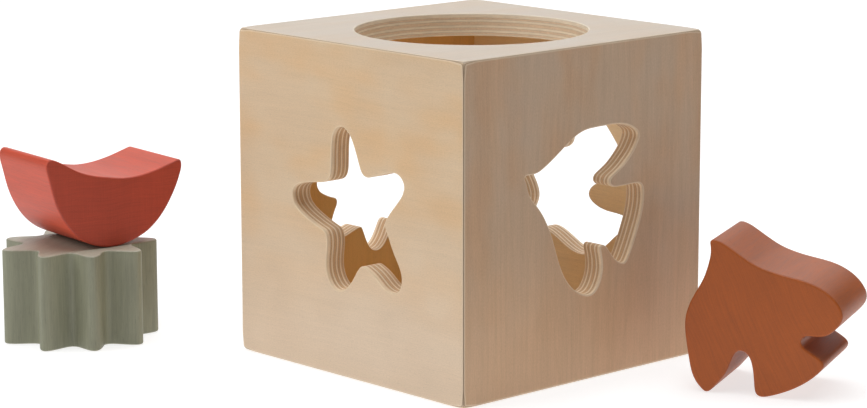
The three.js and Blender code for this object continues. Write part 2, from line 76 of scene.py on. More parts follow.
FISH_HOLE = [
    (-35.82, 19.69), (-35.32, 18.50), (-34.59, 16.92), (-33.88, 14.22), (-32.71, 11.73),
    (-30.70, 9.26), (-27.85, 6.28), (-25.42, 3.24), (-23.30, -0.06), (-21.35, -3.79),
    (-19.58, -7.91), (-17.74, -12.95), (-15.97, -17.70), (-14.27, -21.52), (-12.42, -24.74),
    (-10.32, -27.51), (-7.85, -29.95), (-5.19, -31.91), (-2.35, -33.38), (0.35, -34.24),
    (2.68, -34.37), (4.75, -33.70), (6.45, -32.23), (7.91, -30.02), (8.95, -27.35), (9.46, -24.46),
    (9.35, -21.39), (8.69, -18.18), (8.26, -16.34), (8.58, -14.88), (9.94, -14.38),
    (11.44, -14.92), (13.12, -16.38), (15.14, -18.92), (17.26, -21.22), (19.52, -22.81),
    (21.51, -23.62), (23.24, -23.69), (24.53, -22.44), (25.92, -20.07), (27.95, -16.03),
    (30.06, -11.24), (31.82, -6.85), (33.02, -3.03), (33.75, 0.62), (33.97, 3.88), (33.74, 6.34),
    (32.93, 8.05), (31.35, 8.97), (28.97, 9.21), (24.25, 9.16), (19.19, 9.11), (16.55, 9.28),
    (14.73, 9.95), (13.71, 11.13), (13.78, 12.67), (14.92, 13.97), (17.13, 15.20), (20.17, 16.90),
    (23.19, 19.13), (25.98, 21.68), (28.34, 24.37), (29.96, 26.83), (30.77, 28.72), (30.57, 30.49),
    (29.28, 31.93), (27.05, 33.27), (24.04, 34.50), (20.69, 35.30), (16.87, 35.72), (12.37, 35.81),
    (6.62, 35.73), (2.10, 35.55), (-1.45, 35.07), (-4.66, 34.11), (-7.91, 32.59), (-11.74, 30.30),
    (-16.76, 27.08), (-21.25, 24.31), (-25.04, 22.22), (-27.96, 20.98), (-30.88, 20.50),
    (-33.39, 20.49), (-34.81, 20.41),
]
BIRD_HOLE = [
    (6.48, 11.63), (5.36, 13.81), (4.72, 17.17), (4.13, 21.18), (3.12, 24.31), (1.43, 27.12),
    (-0.82, 29.53), (-3.39, 31.34), (-6.15, 32.44), (-9.03, 32.72), (-11.94, 32.19),
    (-15.04, 30.83), (-18.12, 28.77), (-21.41, 25.94), (-24.83, 22.43), (-28.23, 18.58),
    (-30.85, 15.17), (-32.54, 12.17), (-33.45, 9.27), (-33.52, 6.37), (-32.78, 3.61),
    (-31.38, 1.26), (-29.45, -0.45), (-27.03, -1.27), (-23.70, -1.37), (-20.14, -1.45),
    (-17.33, -2.16), (-14.98, -3.64), (-13.42, -5.38), (-12.79, -7.31), (-13.49, -9.15),
    (-15.25, -10.70), (-18.04, -12.06), (-21.54, -13.04), (-25.62, -13.54), (-30.43, -13.80),
    (-34.42, -14.31), (-37.48, -15.16), (-39.38, -16.27), (-40.23, -17.76), (-39.76, -19.33),
    (-38.08, -20.21), (-35.21, -20.93), (-32.02, -22.11), (-29.08, -24.03), (-25.73, -26.96),
    (-22.42, -29.72), (-19.02, -31.88), (-15.57, -33.48), (-11.98, -34.53), (-8.53, -34.92),
    (-5.18, -34.66), (-1.69, -33.66), (2.21, -31.91), (6.97, -29.49), (10.89, -27.75),
    (14.04, -26.84), (16.78, -26.76), (19.13, -27.63), (21.44, -29.63), (23.79, -31.76),
    (26.20, -32.95), (28.59, -33.11), (30.84, -32.48), (32.36, -31.15), (32.86, -29.09),
    (32.37, -26.58), (30.95, -23.36), (28.86, -19.61), (27.54, -16.57), (27.21, -13.95),
    (27.86, -11.25), (29.42, -8.23), (31.94, -4.64), (35.35, -0.37), (38.00, 3.17), (39.49, 5.76),
    (39.99, 7.80), (39.22, 9.45), (37.34, 10.51), (34.43, 11.15), (30.79, 11.31), (26.99, 10.94),
    (22.61, 9.93), (18.43, 9.18), (14.56, 8.98), (11.18, 9.29), (8.45, 10.15),
]
FLOWER_HOLE = [
    (12.68, 23.82), (12.34, 27.57), (11.74, 31.66), (10.53, 34.44), (8.56, 36.06), (5.99, 36.32),
    (3.36, 35.18), (0.60, 32.73), (-2.34, 29.31), (-4.21, 27.41), (-6.43, 27.50), (-9.01, 29.36),
    (-12.70, 31.83), (-15.71, 33.07), (-18.37, 33.09), (-20.54, 31.73), (-21.69, 29.29),
    (-21.89, 25.94), (-21.36, 21.62), (-21.19, 19.18), (-22.58, 17.95), (-25.53, 17.92),
    (-29.88, 17.83), (-32.91, 17.05), (-34.92, 15.45), (-35.58, 13.04), (-34.82, 10.36),
    (-32.70, 7.53), (-29.60, 4.36), (-28.09, 2.61), (-28.85, 0.73), (-31.35, -1.41),
    (-34.36, -4.17), (-36.12, -6.72), (-36.52, -9.20), (-35.44, -11.34), (-33.05, -12.49),
    (-29.41, -13.04), (-26.08, -13.33), (-24.97, -13.42), (-25.55, -14.17), (-26.59, -17.04),
    (-27.67, -20.65), (-27.57, -23.28), (-26.16, -25.23), (-23.67, -26.23), (-20.52, -26.07),
    (-16.62, -24.82), (-13.02, -23.51), (-10.61, -23.34), (-8.99, -25.29), (-7.12, -28.84),
    (-4.98, -32.11), (-2.66, -34.21), (-0.12, -35.00), (2.42, -34.36), (4.50, -32.35),
    (6.26, -29.02), (7.75, -25.38), (9.02, -23.40), (11.35, -23.55), (15.06, -24.84),
    (19.00, -26.09), (22.16, -26.29), (24.70, -25.41), (26.27, -23.44), (26.62, -20.69),
    (25.77, -17.25), (24.09, -13.34), (23.02, -10.76), (23.51, -8.74), (25.87, -7.75),
    (30.05, -6.01), (32.78, -4.27), (34.24, -2.02), (34.30, 0.44), (32.80, 2.67), (30.02, 4.66),
    (26.04, 6.46), (23.70, 7.62), (23.01, 9.34), (24.28, 11.53), (26.53, 15.33), (27.49, 18.32),
    (27.17, 20.86), (25.51, 22.70), (22.85, 23.36), (19.34, 23.00), (15.67, 22.16), (13.46, 21.88),
]
MOON_HOLE = [
    (-30.58, -9.39), (-29.50, -12.97), (-28.14, -16.56), (-26.44, -20.33), (-24.39, -24.66),
    (-22.87, -27.94), (-21.66, -29.71), (-20.29, -30.90), (-18.75, -31.56), (-17.15, -31.67),
    (-15.69, -31.22), (-14.46, -30.22), (-13.33, -28.47), (-11.89, -25.43), (-10.28, -21.27),
    (-8.82, -17.59), (-7.32, -14.68), (-5.43, -11.68), (-3.15, -8.59), (-0.41, -5.31),
    (3.37, -0.99), (5.61, 1.30), (8.33, 3.52), (11.24, 5.58), (14.54, 7.52), (18.37, 9.54),
    (22.04, 11.19), (26.89, 13.20), (29.66, 14.37), (30.95, 15.35), (31.65, 16.60), (31.75, 18.02),
    (31.23, 19.49), (30.07, 21.07), (28.39, 22.53), (25.65, 24.23), (22.07, 26.17), (18.88, 27.59),
    (14.88, 29.08), (11.50, 30.10), (7.67, 30.93), (4.05, 31.50), (0.75, 31.69), (-2.80, 31.64),
    (-5.27, 31.28), (-7.74, 30.44), (-10.77, 28.99), (-15.13, 26.58), (-18.53, 24.55),
    (-21.06, 22.70), (-23.40, 20.55), (-26.12, 17.66), (-27.70, 15.73), (-28.68, 13.67),
    (-29.99, 9.92), (-30.91, 6.78), (-31.48, 3.59), (-31.75, 0.32), (-31.71, -2.96),
    (-31.35, -6.01),
]
STAR_BLOCK = [
    (-0.02, 64.77), (-1.77, 64.41), (-3.29, 63.11), (-4.40, 60.92), (-5.25, 57.57), (-6.14, 52.56),
    (-6.91, 48.44), (-7.84, 45.82), (-9.34, 43.86), (-11.39, 42.48), (-13.94, 41.82),
    (-17.79, 41.66), (-23.70, 41.58), (-27.71, 41.38), (-30.56, 40.79), (-32.47, 39.90),
    (-33.40, 38.41), (-33.20, 36.63), (-32.09, 34.71), (-29.98, 32.83), (-26.49, 30.57),
    (-22.51, 28.30), (-18.63, 26.42), (-16.15, 25.15), (-14.64, 23.41), (-13.80, 21.17),
    (-13.66, 18.46), (-14.22, 15.20), (-15.30, 11.12), (-15.82, 7.96), (-15.65, 5.16),
    (-14.85, 2.85), (-13.43, 1.08), (-11.61, 0.13), (-9.48, 0.09), (-7.17, 1.02), (-4.62, 2.78),
    (-2.08, 5.29), (0.42, 8.04), (2.53, 9.71), (4.63, 10.50), (6.87, 10.27), (9.52, 9.05),
    (12.48, 7.17), (15.34, 4.68), (18.13, 2.13), (20.51, 0.61), (22.66, 0.00), (24.58, 0.22),
    (26.02, 1.49), (26.72, 3.39), (26.74, 5.82), (25.93, 8.56), (24.24, 12.07), (22.63, 15.94),
    (20.89, 21.07), (19.75, 24.60), (19.66, 26.83), (20.72, 28.90), (22.71, 31.26), (25.63, 33.82),
    (29.19, 36.65), (31.69, 39.03), (33.08, 40.89), (33.38, 42.67), (32.53, 44.18), (30.86, 45.27),
    (28.55, 45.58), (25.18, 45.16), (20.25, 44.52), (16.38, 43.83), (13.46, 43.68), (11.10, 44.25),
    (9.26, 45.48), (7.98, 47.56), (6.96, 50.83), (5.67, 55.82), (4.51, 59.48), (3.18, 62.18),
    (1.68, 63.93),
]
FISH_BLOCK = [
    (-22.80, 62.90), (-22.73, 61.48), (-22.54, 59.08), (-22.82, 56.24), (-23.81, 52.20),
    (-24.88, 48.86), (-26.30, 45.66), (-28.44, 41.77), (-30.32, 38.24), (-31.63, 35.05),
    (-32.55, 31.88), (-32.94, 28.97), (-32.89, 25.71), (-32.45, 21.70), (-31.64, 16.66),
    (-30.74, 11.60), (-29.91, 8.16), (-28.85, 5.52), (-27.38, 3.19), (-25.46, 1.10),
    (-24.04, 0.11), (-22.71, 0.18), (-21.30, 1.11), (-18.73, 4.03), (-16.34, 6.98), (-14.95, 9.37),
    (-13.47, 13.10), (-12.17, 16.14), (-11.01, 17.66), (-9.62, 18.37), (-8.07, 18.29),
    (-6.61, 17.44), (-5.39, 15.87), (-4.48, 13.56), (-3.82, 10.40), (-3.36, 6.27), (-2.95, 2.66),
    (-2.29, 1.04), (-1.14, 0.21), (0.61, 0.00), (3.15, 0.51), (6.78, 1.71), (10.60, 3.26),
    (13.97, 4.92), (17.28, 6.91), (20.23, 9.04), (22.89, 11.39), (24.82, 13.53), (25.59, 15.07),
    (25.38, 16.35), (24.26, 17.64), (21.30, 19.62), (18.03, 21.58), (16.60, 22.86), (16.10, 24.26),
    (16.35, 25.80), (17.18, 26.78), (18.80, 27.10), (22.15, 27.12), (24.96, 27.42), (27.06, 28.19),
    (29.01, 29.62), (31.00, 31.74), (32.38, 33.85), (32.94, 35.73), (32.79, 37.67), (31.89, 39.78),
    (30.31, 42.08), (28.30, 44.15), (25.83, 46.00), (23.00, 47.59), (19.93, 48.85), (16.54, 49.81),
    (12.26, 50.66), (7.14, 51.59), (3.04, 52.53), (-0.74, 53.66), (-4.05, 54.97), (-7.25, 56.66),
    (-11.32, 59.16), (-15.70, 61.92), (-18.15, 63.17), (-20.64, 63.88), (-21.99, 63.72),
]
BIRD_BLOCK = [
    (5.89, 42.75), (4.70, 45.14), (4.10, 48.38), (3.78, 52.34), (3.00, 55.66), (1.60, 58.47),
    (-0.40, 60.83), (-2.83, 62.63), (-5.45, 63.65), (-8.21, 63.73), (-11.15, 62.94),
    (-14.31, 61.31), (-17.54, 58.93), (-21.17, 55.66), (-24.82, 52.00), (-27.82, 48.60),
    (-29.71, 45.79), (-30.73, 42.98), (-30.85, 40.23), (-30.14, 37.70), (-28.71, 35.73),
    (-26.66, 34.58), (-23.70, 34.27), (-19.96, 34.08), (-16.91, 33.27), (-14.33, 31.79),
    (-12.27, 29.79), (-11.12, 27.57), (-10.90, 25.33), (-11.84, 23.23), (-13.79, 21.45),
    (-16.60, 19.95), (-19.97, 18.98), (-23.97, 18.50), (-29.02, 18.40), (-33.47, 18.21),
    (-36.50, 17.68), (-37.87, 17.22), (-38.56, 16.18), (-37.15, 15.77), (-35.07, 15.15),
    (-31.76, 13.73), (-28.89, 11.70), (-25.69, 8.62), (-22.38, 5.59), (-19.14, 3.28),
    (-15.75, 1.52), (-12.38, 0.40), (-9.05, 0.00), (-5.70, 0.33), (-2.04, 1.37), (2.22, 3.21),
    (6.68, 5.23), (10.48, 6.49), (13.78, 7.08), (16.56, 6.84), (19.11, 5.68), (21.46, 3.61),
    (23.54, 1.40), (25.66, 0.20), (27.69, 0.05), (29.40, 0.80), (29.86, 2.56), (29.33, 4.86),
    (27.78, 8.29), (26.00, 11.95), (25.08, 15.06), (25.05, 17.90), (25.93, 20.81), (27.64, 23.85),
    (30.29, 27.29), (33.99, 31.50), (36.97, 35.10), (38.29, 37.01), (38.65, 38.78), (37.08, 39.64),
    (34.61, 40.28), (31.19, 40.55), (27.15, 40.14), (22.08, 39.32), (17.77, 38.92), (13.98, 39.04),
    (10.65, 39.73), (7.92, 40.96),
]
FLOWER_BLOCK = [
    (25.95, 0.00), (29.18, 2.19), (32.10, 4.45), (33.67, 6.48), (33.64, 8.64), (31.95, 10.26),
    (28.97, 11.41), (24.82, 12.27), (21.52, 13.14), (19.67, 14.66), (19.16, 17.19), (19.55, 20.97),
    (19.85, 24.87), (19.41, 27.62), (18.04, 29.32), (15.74, 29.36), (13.16, 28.10), (9.89, 25.76),
    (7.15, 23.99), (5.01, 23.78), (3.25, 25.38), (1.45, 28.56), (-0.44, 31.72), (-2.29, 33.64),
    (-4.36, 34.02), (-6.09, 32.53), (-7.37, 29.79), (-8.54, 25.81), (-9.63, 22.90),
    (-11.29, 21.51), (-13.79, 21.73), (-17.30, 23.04), (-20.80, 24.18), (-23.37, 24.37),
    (-25.11, 23.34), (-24.99, 21.20), (-23.88, 18.66), (-22.08, 15.46), (-20.96, 13.10),
    (-21.30, 11.32), (-23.34, 10.73), (-26.57, 10.57), (-29.77, 10.31), (-32.04, 9.61),
    (-32.83, 7.76), (-31.97, 5.52), (-29.76, 3.02), (-26.46, 0.23), (-24.25, -2.04),
    (-23.58, -4.33), (-24.49, -6.93), (-26.72, -10.42), (-28.55, -13.74), (-29.21, -16.39),
    (-28.55, -18.54), (-26.46, -19.65), (-23.32, -19.78), (-19.30, -19.30), (-16.18, -19.21),
    (-14.21, -20.29), (-13.15, -22.78), (-12.49, -26.79), (-11.69, -30.61), (-10.51, -33.15),
    (-8.72, -34.45), (-6.48, -33.96), (-4.28, -32.09), (-1.77, -28.91), (0.50, -26.05),
    (2.56, -24.74), (4.76, -25.19), (7.44, -27.20), (10.50, -29.64), (13.01, -30.95),
    (15.19, -30.88), (16.47, -29.11), (16.82, -26.30), (16.55, -22.20), (16.35, -18.74),
    (17.05, -16.58), (19.08, -15.73), (22.44, -15.77), (26.27, -15.84), (28.85, -15.34),
    (30.34, -13.83), (30.00, -11.70), (28.27, -9.13), (25.67, -6.26), (24.03, -3.98),
    (24.08, -1.90),
]
MOON_BLOCK = [
    (-27.00, 17.41), (-25.39, 14.49), (-23.69, 11.91), (-21.79, 9.55), (-19.73, 7.43),
    (-17.52, 5.57), (-15.19, 4.01), (-12.53, 2.62), (-9.89, 1.54), (-7.15, 0.77), (-4.18, 0.23),
    (-1.23, 0.00), (1.76, 0.05), (4.62, 0.39), (7.63, 1.05), (10.76, 2.01), (13.85, 3.22),
    (16.42, 4.48), (18.78, 6.01), (21.20, 7.93), (23.38, 10.02), (25.50, 12.43), (27.45, 15.04),
    (29.36, 18.03), (31.25, 21.34), (32.67, 24.23), (34.07, 27.71), (34.98, 30.44), (35.24, 32.36),
    (35.06, 33.92), (34.52, 34.74), (33.56, 35.04), (31.80, 34.66), (27.61, 33.39), (23.28, 32.14),
    (19.68, 31.29), (15.73, 30.54), (12.34, 30.09), (8.93, 29.89), (5.67, 29.91), (2.67, 30.21),
    (-2.11, 31.01), (-6.43, 31.79), (-9.97, 32.61), (-13.31, 33.60), (-16.33, 34.74),
    (-19.14, 36.08), (-22.91, 38.23), (-26.19, 40.04), (-28.91, 41.28), (-30.46, 41.68),
    (-31.57, 41.44), (-32.45, 40.65), (-33.01, 39.38), (-33.10, 37.77), (-32.67, 35.48),
    (-31.60, 31.41), (-30.49, 26.90), (-29.50, 23.46), (-28.36, 20.38),
]


# ---------------------------------------------------------------- outline maths
def area2(p):
    x, y = p.T
    return float(np.sum(x * np.roll(y, -1) - np.roll(x, -1) * y))


def spline(points, dense=6000):
    """A closed cubic spline through the points, by arc length, counter-clockwise."""
    p = np.array(points, float)
    if area2(p) < 0:
        p = p[::-1]
    n = len(p)
    h = np.hypot(*(np.roll(p, -1, 0) - p).T) ** 0.5  # centripetal steps keep tight corners round
    a = np.zeros((n, n))
    rhs = np.zeros((n, 2))
    for i in range(n):
        hm, hp = h[i - 1], h[i]
        a[i, i] = 2 * (hm + hp)
        a[i, i - 1] += hm
        a[i, (i + 1) % n] += hp
        rhs[i] = 6 * ((p[(i + 1) % n] - p[i]) / hp - (p[i] - p[i - 1]) / hm)
    m = np.linalg.solve(a, rhs)
    knots = np.r_[0, np.cumsum(h)]
    t = np.linspace(0, knots[-1], dense, endpoint=False)
    i = np.clip(np.searchsorted(knots, t, side="right") - 1, 0, n - 1)
    j = (i + 1) % n
    hi, s = h[i][:, None], (t - knots[i])[:, None]
    r = hi - s
    return (
        m[i] * r**3 / (6 * hi)
        + m[j] * s**3 / (6 * hi)
        + (p[i] / hi - m[i] * hi / 6) * r
        + (p[j] / hi - m[j] * hi / 6) * s
    )


def smooth_ring(values, width):
    k = np.hanning(2 * width + 3)[1:-1]
    k /= k.sum()
    v = np.r_[values[-width:], values, values[:width]]
    return np.convolve(v, k, "valid")


def curvature(p):
    a, c = np.roll(p, 1, 0), np.roll(p, -1, 0)
    d1, d2 = p - a, c - p
    cross = d1[:, 0] * d2[:, 1] - d1[:, 1] * d2[:, 0]
    return np.arctan2(cross, (d1 * d2).sum(1)) / (
        (np.hypot(*d1.T) + np.hypot(*d2.T)) / 2
    )


def resample(dense, n, weight=1.2):
    """n points along a dense closed curve, closer together where it bends."""
    step = np.hypot(*(np.roll(dense, -1, 0) - dense).T)
    k = np.sqrt(smooth_ring(np.abs(curvature(dense)), 30) + 1e-4)
    w = step / step.sum() + weight * step * k / (step * k).sum()
    c = np.r_[0, np.cumsum(w)]
    t = np.linspace(0, c[-1], n, endpoint=False)
    q = np.vstack([dense, dense[:1]])
    return np.stack([np.interp(t, c, q[:, 0]), np.interp(t, c, q[:, 1])], -1)


def right_normals(p):
    """Unit normals pointing out of a counter-clockwise outline."""
    t = np.roll(p, -1, 0) - np.roll(p, 1, 0)
    t /= np.hypot(*t.T)[:, None]
    return np.stack([t[:, 1], -t[:, 0]], -1)


def safe_radius(p, into, radius):
    """The round-over radius at each point, smaller where the outline bends too tightly for it."""
    k = curvature(p)
    bend = k if into < 0 else -k
    bend = smooth_ring(np.maximum(bend, 0), 2)
    r = np.minimum(radius, 0.8 / np.maximum(bend, 1e-6))
    r = np.minimum.reduce([np.roll(r, s) for s in range(-3, 4)])
    return smooth_ring(r, 5)


def outline(points, n=520):
    return resample(spline(points), n)


def circle(diameter, n=480):
    a = np.linspace(0, 2 * np.pi, n, endpoint=False)
    return np.stack([np.cos(a), np.sin(a)], -1) * diameter / 2


# ---------------------------------------------------------------- mesh building
class Solid:
    """Collects vertices and faces, with a normal for each face corner."""

    def __init__(self):
        self.v, self.f, self.n, self.m = [], [], [], []

    def row(self, points):
        start = len(self.v)
        self.v.extend(tuple(map(float, q)) for q in points)
        return list(range(start, len(self.v)))

    def face(self, index, normals, material):
        p = [Vector(self.v[i]) for i in index]
        g = Vector((0, 0, 0))
        for i in range(1, len(p) - 1):
            g += (p[i] - p[0]).cross(p[i + 1] - p[0])
        s = Vector((0, 0, 0))
        for q in normals:
            s += Vector(tuple(map(float, q)))
        if g.dot(s) < 0:
            index, normals = index[::-1], normals[::-1]
        self.f.append(tuple(index))
        self.n.append([tuple(map(float, q)) for q in normals])
        self.m.append(material)

    def strip(self, a, b, na, nb, material):
        """A closed band of quads between two rows of the same length."""
        k = len(a)
        for i in range(k):
            j = (i + 1) % k
            self.face([a[i], a[j], b[j], b[i]], [na[i], na[j], nb[j], nb[i]], material)

    def cap(self, loops, normal, material):
        """A flat face bounded by the first loop, with the others as holes."""
        flat = [i for loop in loops for i in loop]
        rings = []
        drop = int(np.argmax(np.abs(normal)))
        keep = [c for c in range(3) if c != drop]
        for loop in loops:
            rings.append([Vector((self.v[i][keep[0]], self.v[i][keep[1]], 0)) for i in loop])
        for tri in tessellate_polygon(rings):
            idx = [flat[t] for t in tri]
            self.face(idx, [normal] * 3, material)

    def object(self, name, place, materials, box=None):
        """place is a 4x4 matrix from local millimetres to the row frame in metres. box keeps the mesh inside the CAD node."""
        me = bpy.data.meshes.new(name)
        me.from_pydata(self.v, [], self.f)
        for m in materials:
            me.materials.append(m)
        me.polygons.foreach_set("material_index", np.array(self.m, np.int32))
        me.polygons.foreach_set("use_smooth", np.ones(len(self.f), bool))
        me.transform(place)
        if box:
            co = np.zeros(len(self.v) * 3, np.float32)
            me.vertices.foreach_get("co", co)
            co = np.clip(co.reshape(-1, 3), np.array(box[0]) + 1e-6, np.array(box[1]) - 1e-6)
            me.vertices.foreach_set("co", co.ravel().astype(np.float32))
        rot = place.to_3x3().normalized()
        normals = [tuple((rot @ Vector(q)).normalized()) for face in self.n for q in face]
        me.update()
        me.normals_split_custom_set(normals)
        me.update()
        o = bpy.data.objects.new(name, me)
        bpy.context.scene.collection.objects.link(o)
        return o


def lift(p, z):
    return np.column_stack([p, np.full(len(p), z)])


def side_samples(half):
    """Places along a side from -1 to 1, close together near its ends."""
    near = np.concatenate([np.linspace(0, 4, 11), np.linspace(4, 12, 11)[1:]])
    far = np.linspace(12, half, 9)[1:]
    s = np.concatenate([near, far])
    s = -1 + s / half
    return np.concatenate([s, -s[::-1][1:]])[:-1]


def panel_solid(hx, hy, cut, cut_n=None):
    """A mitred panel, outer face at z = 0 and inner face at z = -PLY.
    Materials: 0 outer veneer, 1 cut edge, 2 inner veneer."""
    s = Solid()
    sx, sy = side_samples(hx), side_samples(hy)

    def corner_radius(dist):
        t = np.clip(1 - dist / 9.0, 0, 1)
        return ARRIS + (CORNER - ARRIS) * t * t * (3 - 2 * t)

    def around(inset_of, corner_inset):
        """The panel's rectangle, inset by a distance that may vary along the edge."""
        pts = []
        cx, cy = hx - corner_inset, hy - corner_inset
        for t in sx:
            pts.append((t * cx, -(hy - inset_of(hx * (1 - abs(t)), abs(t) == 1))))
        for t in sy:
            pts.append((hx - inset_of(hy * (1 - abs(t)), abs(t) == 1), t * cy))
        for t in sx:
            pts.append((-t * cx, hy - inset_of(hx * (1 - abs(t)), abs(t) == 1)))
        for t in sy:
            pts.append((-(hx - inset_of(hy * (1 - abs(t)), abs(t) == 1)), -t * cy))
        return np.array(pts)

    steps = 7
    rows, norms = [], []
    for k in range(steps + 1):
        share = 1 - k / steps

        def inset(dist, at_corner, share=share):
            r = corner_radius(0.0 if at_corner else dist)
            top = math.pi / 4 - math.asin(GLUE / (r * math.sqrt(2)))
            return r * (1 - math.tan(top * share))

        q = around(inset, inset(0, True))
        a = np.maximum(hx - np.abs(q[:, 0]), hy - np.abs(q[:, 1]))
        r = corner_radius(a)
        dx = np.maximum(np.abs(q[:, 0]) - (hx - r), 0) * np.sign(q[:, 0])
        dy = np.maximum(np.abs(q[:, 1]) - (hy - r), 0) * np.sign(q[:, 1])
        d = np.column_stack([dx, dy, r])
        d /= np.linalg.norm(d, axis=1)[:, None]
        base = np.column_stack([q[:, 0] - dx, q[:, 1] - dy, -r])
        rows.append(s.row(base + d * r[:, None]))
        norms.append(d)
    for k in range(steps):
        s.strip(rows[k], rows[k + 1], norms[k], norms[k + 1], 0)

    # the mitre: a fine open joint at the arris, closed further in
    def flat_inset(w, gap):
        return around(lambda dist, c: w + gap, w + gap)

    m1 = s.row(lift(flat_inset(1.5, GLUE), -1.5))
    m2 = s.row(lift(flat_inset(1.7, -0.01), -1.7))
    m3 = s.row(lift(flat_inset(PLY, -0.01), -PLY))
    count = len(m1)
    side_n = []
    nx, ny = len(sx), len(sy)
    h = math.sqrt(0.5)
    for block, c in (((0, -h, -h), nx), ((h, 0, -h), ny), ((0, h, -h), nx), ((-h, 0, -h), ny)):
        side_n += [block] * c

    def mitre(a, b):
        for i in range(count):
            j = (i + 1) % count
            s.face([a[i], a[j], b[j], b[i]], [side_n[i]] * 4, 1)

    mitre(rows[0], m1)
    mitre(m1, m2)
    mitre(m2, m3)

    # the cut-out
    n2 = right_normals(cut)
    inward = np.column_stack([-n2, np.zeros(len(cut))])
    up = np.tile([0.0, 0.0, 1.0], (len(cut), 1))
    r_out = safe_radius(cut, 1, HOLE_ARRIS)
    r_in = safe_radius(cut, 1, HOLE_INNER)
    hole_rows, hole_norms = [], []
    k_out, k_in = 6, 4
    for k in range(k_out + 1):
        f = math.pi / 2 * k / k_out
        q = cut + n2 * (r_out * (1 - math.sin(f)))[:, None]
        hole_rows.append(s.row(np.column_stack([q, -r_out * (1 - math.cos(f))])))
        hole_norms.append(up * math.cos(f) + inward * math.sin(f))
    for k in range(k_in + 1):
        f = math.pi / 2 * (1 - k / k_in)
        q = cut + n2 * (r_in * (1 - math.sin(f)))[:, None]
        hole_rows.append(s.row(np.column_stack([q, -PLY + r_in * (1 - math.cos(f))])))
        hole_norms.append(-up * math.cos(f) + inward * math.sin(f))
    for k in range(len(hole_rows) - 1):
        s.strip(hole_rows[k], hole_rows[k + 1], hole_norms[k], hole_norms[k + 1], 1)

    s.cap([rows[-1], hole_rows[0]], (0, 0, 1), 0)
    s.cap([m3, hole_rows[-1]], (0, 0, -1), 2)
    return s


def block_solid(line):
    """A block with its outline in x and y and its thickness from z = 0 to z = BLOCK_T, all edges eased."""
    s = Solid()
    n2 = right_normals(line)
    out = np.column_stack([n2, np.zeros(len(line))])
    up = np.tile([0.0, 0.0, 1.0], (len(line), 1))
    r = safe_radius(line, -1, BLOCK_ARRIS)
    rows, norms = [], []
    steps = 6
    for end in (0, 1):
        for k in range(steps + 1):
            f = math.pi / 2 * (k / steps if end == 0 else 1 - k / steps)
            q = line - n2 * (r * (1 - math.sin(f)))[:, None]
            z = r * (1 - math.cos(f))
            if end:
                z = BLOCK_T - z
            rows.append(s.row(np.column_stack([q, z])))
            norms.append((up if end else -up) * math.cos(f) + out * math.sin(f))
    for k in range(len(rows) - 1):
        s.strip(rows[k], rows[k + 1], norms[k], norms[k + 1], 0)
    s.cap([rows[0]], (0, 0, -1), 0)
    s.cap([rows[-1]], (0, 0, 1), 0)
    return s


# ---------------------------------------------------------------- node helpers
def lin(r, g, b):
    """An sRGB colour, 0 to 255, as linear RGBA."""
    out = []
    for c in (r, g, b):
        c /= 255.0
        out.append(c / 12.92 if c <= 0.04045 else ((c + 0.055) / 1.055) ** 2.4)
    return (*out, 1.0)


